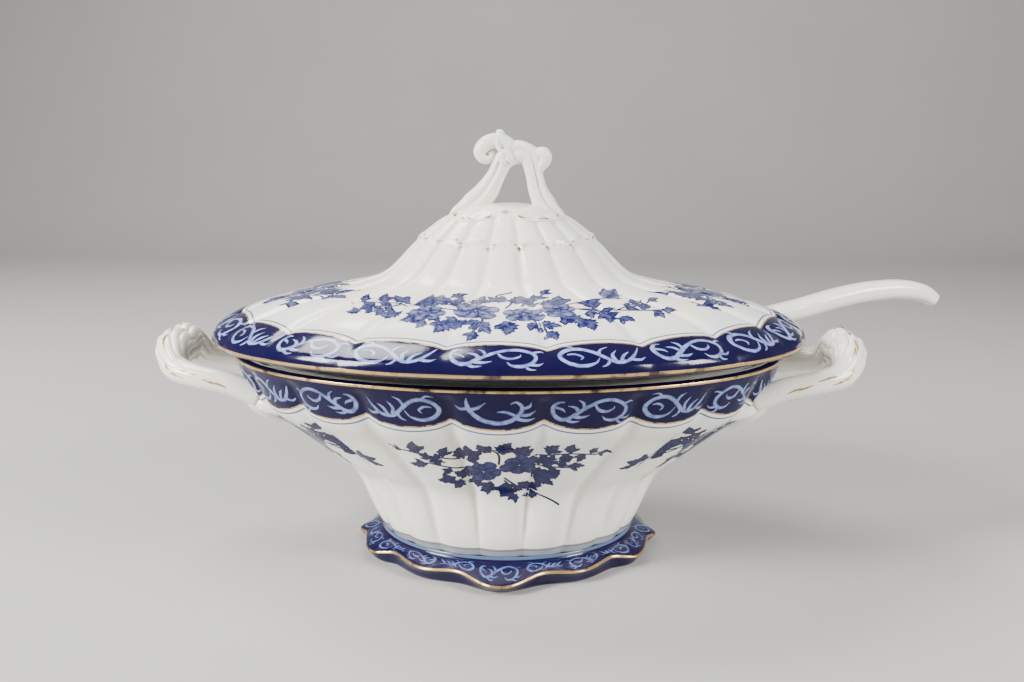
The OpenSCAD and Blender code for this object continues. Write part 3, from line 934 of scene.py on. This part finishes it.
# A scroll fills one lobe of a band, which is 100 wide, from -50 to 50, and 100 high. Semicolons
# part its strokes, and each key of a stroke is x, y and half width.
SCROLLS = {
    "S": """
        -33 80 3, -40 78 7, -45 60 9, -43 38 10, -35 24 11, -26 28 10, -17 44 10, -7 62 10,
        5 78 9, 19 84 9, 32 74 9, 40 54 9, 38 32 9, 28 18 9, 17 20 6, 12 32 2; 2 70 5, 7 52 8,
        16 46 8, 24 54 5, 25 63 1; -30 26 9, -22 16 7, -13 18 1; -22 34 10, -12 30 8, -3 36 1;
        -16 46 9, -20 62 8, -29 68 1; -10 56 8, -12 76 7, -18 86 1; -42 62 7, -34 56 6, -31 47 1;
        34 24 8, 43 20 6, 48 27 1; 30 20 8, 34 8 5, 41 6 1; 36 68 7, 44 74 5, 48 70 1""",
    "U": """
        -33 94 2, -33 74 9, -28 46 11, -15 22 11, 1 14 11, 15 22 11, 25 44 10, 28 66 9, 22 82 6,
        15 76 2; -31 62 8, -40 56 8, -47 66 1; -29 56 8, -20 64 8, -12 80 1; 23 42 9, 34 40 9,
        43 52 1; 19 30 9, 32 22 8, 42 28 1; 27 60 7, 36 68 7, 38 82 1; 20 38 8, 10 50 8, 0 50 1""",
    "C": """
        -2 44 2, -8 24 6, -21 16 9, -35 26 10, -42 50 10, -35 74 10, -21 82 10, -8 70 10, 3 46 10,
        14 26 10, 27 28 9, 37 50 8, 44 78 2; -34 58 3, -26 60 6, -19 48 6, -22 38 2; 14 30 9,
        12 52 8, 18 72 1; 20 28 9, 24 48 8, 31 62 1; 8 34 8, 4 18 6, -2 12 1; 30 34 8, 41 28 7,
        48 36 1; -2 60 8, 2 78 6, 10 88 1; -24 82 7, -30 94 5, -39 92 1""",
}
ROUND_TONES = (0.35, 0.75, 0.95, 0.75, 0.35)


def band_scrolls(transfer, motifs, low, high):
    """Scrolls one after the other round a wall, between the heights low(t) and high(t).

    A letter of motifs names a scroll, and a small one turns it left to right.
    """
    for i in range(FLUTES):
        t0 = -90 + i * FLUTE_T
        motif = motifs[i % len(motifs)]
        bottom, top = low(t0), high(t0)
        height, middle = top - bottom, (bottom + top) / 2
        width = FLUTE_T * float(transfer.wall.mm_per_degree(t0, middle)) * 0.94
        for stroke in SCROLLS[motif.upper()].split(";"):
            keys = [(x * width, (y - 0.5) * height, w * (0.40 * height + 0.09 * width))
                    for x, y, w in np.array(table(stroke)) / 100]
            transfer.ribbon((t0, middle), keys, ROUND_TONES, flip=1 if motif.isupper() else -1)


LEAF_TONES = (0.0, 0.12, 0.42, 0.08, 0.0)
# A petal is given by places along it and its width there, and a ring of a rose by its count, first
# angle, reach, how far the reach varies and how fast, petal width, layer and tones.
PETAL = ((0.12, 0.25), (0.4, 0.75), (0.7, 1.0), (0.88, 0.85), (1, 0.35))
ROSE_RINGS = ((6, 0, 1.05, 0.16, 2.3, 0.42, 2, (0.0, 0.55, 1.0, 0.45, 0.05)),
              (5, 28, 0.70, 0.08, 1.7, 0.30, 3, (0.0, 0.35, 0.8, 0.25, 0.0)),
              (4, 0, 0.36, 0, 0, 0.15, 4, (0.0, 0.05, 0.4, 0.05, 0.0)))


class Spray:
    """A flower spray drawn in millimetres about one spot of a wall."""

    def __init__(self, transfer, t0, v0, flip, size, lush):
        self.transfer, self.spot, self.flip = transfer, (t0, v0), flip
        self.size, self.lush = size, lush

    def draw(self, shapes):
        """Shapes are pairs of a kind of shape and a table of what each one of it is given."""
        for kind, places in shapes:
            for place in table(places):
                getattr(self, kind)(*place)

    def stroke(self, keys, tone, layer=0, serrate=0.0, step=0.8):
        keys = np.array(keys, float) * self.size
        self.transfer.ribbon(self.spot, keys, tone, step, self.flip, layer, serrate)

    def stem(self, *line):
        width = 0.52
        self.stroke([(x, y, width) for x, y in zip(line[::2], line[1::2])], 0.1)

    def leaf(self, x, y, angle, length, width, curve=0.12):
        length, width = self.lush * length, self.lush * width
        c, s = compass(angle, length)
        spine = bowed(x, y, angle, length, curve, (0, 0.18, 0.42, 0.7, 0.9, 1))
        widths = width * np.array((0.12, 0.62, 1.0, 0.66, 0.25, 0.03))
        self.stroke(np.column_stack([spine, widths]), LEAF_TONES, 1, 0.25, 0.5)
        x, y = x + 0.25 * c, y + 0.25 * s
        for turn in (-0.85, 0.85):
            c, s = compass(angle + math.degrees(turn), 0.25 * length)
            self.stroke([(x, y, 0.3 * width), (x + c, y + s, 0.52 * width),
                         (x + 2 * c, y + 2 * s, 0.04)], LEAF_TONES, 1, 0.2)

    def sprig(self, x, y, angle, length, count, size=4.5):
        """A stem with leaves on alternate sides and one at its tip."""
        points = bowed(x, y, angle, length, 0.10, np.linspace(0, 1, count + 1))
        self.stem(*np.ravel(points))
        for i, point in enumerate(points[1:-1]):
            side = 1 if i % 2 else -1
            long = size * (1.05 - 0.25 * i / count)
            self.leaf(*point, angle + side * 52, long, 0.30 * long, 0.1 * side)
            self.leaf(*point, angle - side * 38, 0.7 * long, 0.24 * long, -0.1 * side)
        self.leaf(*points[-1], angle, 1.1 * size, 0.3 * size)

    def rose(self, x, y, r, turn=0):
        """Rings of broad dark-edged petals about a dark heart."""
        for count, first, reach, wave, beat, width, layer, tones in ROSE_RINGS:
            for k in range(count):
                c, s = compass(turn + first + 360 / count * k,
                               r * (reach + wave * math.sin(beat * k + turn)))
                self.stroke([(x + f * c, y + f * s, w * width * r) for f, w in PETAL],
                            tones, layer, 0.10, 0.45)

    def bud(self, x, y, angle, r):
        c, s = compass(angle, r)
        for side, tone in ((-1, (0.7, 0.5, 0.3, 0.15, 0.0)), (1, (0.0, 0.2, 0.4, 0.6, 0.8))):
            self.stroke([(x + f * c - side * g * s, y + f * s + side * g * c, w) for f, g, w in (
                (0, 0, 0.1 * r), (0.6, 0.32, 0.42 * r), (1.3, 0.25, 0.30 * r), (1.8, 0, 0.04))],
                tone, 2, 0.0, 0.5)
        for turn in (30, -30):
            self.leaf(x, y, angle + turn, 1.3 * r, 0.22 * r)


BOWL_FRONT = [
    ("stem", """
        -2 0 -14 5 -28 8 -44 12, 2 4 16 9 30 12 44 10, 4 0 16 2 30 1, -6 2 -16 -1 -32 3,
        2 -6 10 -15 22 -23 27 -27, 0 4 0 12 -4 17"""),
    ("leaf", """
        -44 12 172 7 1.3, -36 10 100 9 2.6, -30 9 205 5 1.4, -25 8 75 7 1.9, -32 3 190 8 1.9,
        -26 2 120 5 1.6, -22 0 235 5 1.5, -16 6 100 7 2.3, -14 4 40 6 2, -9 7 115 10 2.9,
        -20 -7 200 7 2.4, -18 -9 250 6 2.2, -13 -8 290 6 2.2, -12 -6 160 7 2.5, 2 12 70 9 3.1,
        -3 14 130 7 2.6, 8 11 50 8 2.8, 14 10 110 7 2.4, 18 10 300 7 2.2, 22 11 60 8 2.4,
        28 12 290 6 2, 32 12 80 7 2.1, 37 12 250 6 1.8, 44 10 350 7 1.6, 41 11 50 5 1.5,
        20 2 60 6 2, 22 1 290 7 2.2, 30 1 0 7 1.9, 27 1 60 5 1.6, 12 -3 340 11 2.8,
        14 -7 330 9 2.5, 8 -10 300 8 2.3, 2 -10 260 9 2.6, -4 -9 240 8 2.6, 12 -16 20 6 1.8,
        6 -15 230 6 1.7, 17 -19 200 6 1.5, -7 -14 280 5 1.3"""),
    ("rose", "-7 -2 7.6, 9 3.5 7.6 20"),
    ("sprig", "-24 4 150 8 2 4.5, 16 2 20 12 3 4.5, 2 -8 285 11 3 5"),
]
LID_FRONT = [
    ("stem", "-8 0 -24 3 -44 6 -66 3, 8 0 26 3 44 0 66 -3, 14 3 30 10 44 14, 2 4 4 12 -2 18 4 22"),
    ("sprig", """
        -34 5 35 18 4 5.5, -40 5 205 18 4 5.5, -24 3 250 12 3 5, 30 2 330 18 4 5.5,
        46 0 20 18 4 5, 8 6 60 15 4 4.5, -6 -5 255 11 3 5.5, 12 -6 300 11 3 5.5"""),
    ("leaf", """
        -58 4 100 7 2, -52 5 230 7 2.2, -46 6 110 8 2.4, -30 3 80 8 2.6, -28 -3 215 9 2.8,
        -14 4 95 9 3, -12 -7 200 9 3, 18 5 70 8 2.8, 22 -4 320 9 3, 36 3 90 7 2.4,
        40 -1 280 8 2.4, 58 -2 70 6 1.9, 62 -3 300 6 1.8, 66 -3 350 7 1.5, 2 -8 275 8 2.8,
        -36 8 140 8 2.4, -20 7 120 8 2.6, -8 8 80 8 2.6, 6 9 60 8 2.6, 24 8 100 8 2.6,
        34 6 50 7 2.2, -38 -2 200 8 2.6, -20 -8 250 8 2.6, 30 -7 300 8 2.6"""),
    ("rose", "-27 -2 6.6, -9 1 8 15, 9 -2 7 40, 22 2 6.6 10"),
    ("leaf", "3 13 150 7 2.2, 3 12 20 9 2.4, 38 12 200 7 2.2"),
    ("bud", "42 13 50 6.5"),
]
END = [
    ("stem", "-24 -3 -12 1 0 2 14 0 26 3"),
    ("sprig", "-8 2 140 14 4 5, -14 0 205 13 3 5, 10 1 40 14 4 5, 12 0 330 14 3 5"),
    ("leaf", """
        -24 -3 185 7 1.8, -18 -1 100 7 2.2, -4 6 95 9 2.8, -5 -5 240 8 2.6, 5 -6 290 8 2.6,
        4 6 70 8 2.6, 18 1 290 7 2.2, 26 3 10 8 1.8, 21 2 75 7 2.2"""),
    ("rose", "-4 1 7, 7 0 6.2 30"),
]


def make_transfers():
    """The bands' scrolls, the sprays and the gilt touches on the lid."""
    prints = Transfer(bowl)
    band_scrolls(prints, "USCsc", lambda t: BOWL_CUSP + 0.9 * BOWL_SWING + 1.2,
                 lambda t: bowl.length - 2.2)
    prints.piece("bowl_band_scrolls", "tureen", "printed_glaze", "bowl_scroll_print")

    prints = Transfer(lid)
    band_scrolls(prints, "SC", lambda t: 2.2,
                 lambda t: LID_CUSP + float(lid.band(t)) + 0.9 * LID_SWING - 1.0)
    prints.faces = [clear_of_notch(prints)]
    prints.piece("lid_band_scrolls", "lid", "printed_glaze", "scroll_print")

    prints = Transfer(foot)
    band_scrolls(prints, "SCsc", lambda t: GILT_EDGE + 1.6, lambda t: foot.length - 3.0)
    prints.piece("foot_scrolls", "tureen", "cobalt_glaze", "foot_scroll_print")

    prints = Transfer(bowl)
    middle = bowl.v_of_height(0.585 * RIM_H)
    for t0 in (-90, 90):
        Spray(prints, t0, middle, 1, 1.0, 1.3).draw(BOWL_FRONT)
    for t0, flip in ((-28, 1), (-152, -1), (28, -1), (152, 1)):
        Spray(prints, t0, middle + 6, flip, 1.15, 1.3).draw(END)
    prints.piece("bowl_sprays", "tureen", "printed_glaze", "flower_print")

    prints = Transfer(lid)
    middle = lid.v_of_key(4.9)
    for t0 in (-90, 90):
        Spray(prints, t0, middle, 1, 1.18, 1.35).draw(LID_FRONT)
    for t0 in (-2, 180):
        Spray(prints, t0, middle + 1, 1, 1.15, 1.35).draw(END)
    prints.piece("lid_sprays", "lid", "printed_glaze", "lid_flower_print")

    make_collar_gilt()


def make_collar_gilt():
    """Short worn strokes on the collar's leaves, and three on the cone, front and back."""
    touches = Transfer(lid, 0.08)
    for i in range(FLUTES):
        t0 = -90 + (i + 0.5) * FLUTE_T
        spot = (t0, float(lid.collar(np.array(t0))))
        for k, (x, y, turn, length) in enumerate(((-2.4, 1.6, 40, 2.6), (2.6, 1.4, 140, 2.2),
                                                  (0.2, -0.4, 95, 2.0), (-4.2, 3.6, 15, 1.8))):
            if (3 * i + 2 * k) % 4 != 1:
                c, d = compass(turn, length)
                touches.ribbon(spot, [(x, y, 0.05), (x + 0.5 * c, y + 0.5 * d, 0.48),
                                      (x + c, y + 0.8 * d, 0.05)], 0.5, 0.3)
    for t0 in (-90, 90):
        for x, y in ((-1.5, 2.2), (0.0, 3.2), (1.5, 2.2)):
            touches.ribbon((t0, lid.v_of_height(TOP_Z - 3.6)),
                           [(0.3 * x, -1.0, 0.1), (0.8 * x, 0.5 * y, 0.35), (x, y, 0.1)], 0.5, 0.3)
    touches.piece("collar_gilt", "lid", "printed_glaze", "gilt_touch")


def clear_of_notch(transfer):
    """The faces of a lid transfer that lie wholly on the lid, away from the ladle's notch."""
    points = np.concatenate(transfer.points)
    angle = np.degrees(np.arctan2(points[:, 1] / LID_B, points[:, 0] / LID_A))
    faces = np.concatenate(transfer.faces)
    return faces[np.all(notch(angle)[faces] <= 0, 1)]


# ---- floor, light and camera
def make_stage():
    mesh = bpy.data.meshes.new("floor")
    size, back, rise, radius = 3.0, 1.3, 1.8, 0.5
    arc = np.linspace(0, math.pi / 2, 12)
    line = [(back + radius * math.sin(a), radius - radius * math.cos(a)) for a in arc]
    line = [(-size, 0), *line, (back + radius, rise)]
    points = [(x, y, z) for y, z in line for x in (-size, size)]
    faces = [(2 * i, 2 * i + 1, 2 * i + 3, 2 * i + 2) for i in range(len(line) - 1)]
    mesh.from_pydata(points, [], faces)
    mesh.polygons.foreach_set("use_smooth", np.ones(len(mesh.polygons), bool))
    n = Nodes("pale_floor")
    colour = n.mix(n.noise(0.25, 3.0), (0.40, 0.39, 0.375), (0.45, 0.44, 0.425))
    mesh.materials.append(n.finish(colour, 0.65))
    floor = bpy.data.objects.new("floor", mesh)
    bpy.context.scene.collection.objects.link(floor)


def aim(thing, place, target):
    thing.location = place
    thing.rotation_euler = (Vector(target) - Vector(place)).to_track_quat("-Z", "Y").to_euler()
    bpy.context.scene.collection.objects.link(thing)


def add_light(name, place, size, power):
    data = bpy.data.lights.new(name, "AREA")
    data.shape = "RECTANGLE"
    data.size, data.size_y = size
    data.energy = power
    aim(bpy.data.objects.new(name, data), place, (0, 0, 0.1))


def make_light():
    world = bpy.data.worlds.new("studio")
    world.use_nodes = True
    colour, strength = world.node_tree.nodes["Background"].inputs[:2]
    colour.default_value = (0.92, 0.92, 0.90, 1)
    strength.default_value = 0.27
    bpy.context.scene.world = world
    add_light("left_softbox", (-1.0, -0.62, 0.70), (0.40, 0.60), 42)
    add_light("right_softbox", (1.05, -0.55, 0.62), (0.35, 0.55), 24)
    add_light("top_softbox", (-0.62, 0.42, 1.35), (0.7, 0.6), 22)


def make_camera():
    """The camera stands where the photograph's perspective puts it, aimed at the lid's brim."""
    turn, distance, height, aim_height = 2.8, 0.550, 0.2055, 0.1065
    x, y = compass(turn - 90, distance)
    data = bpy.data.cameras.new("camera")
    data.sensor_width = 36
    data.lens = 39.3
    data.shift_x, data.shift_y = 0.0049, -0.0049
    camera = bpy.data.objects.new("camera", data)
    aim(camera, (x, y, height), (0, 0, aim_height))
    bpy.context.scene.camera = camera


for make in (make_stage, make_light, make_camera, make_bowl, make_foot, make_lid, make_handles,
             make_finial, make_lid_scrolls, make_flange, make_ladle, make_transfers):
    make()
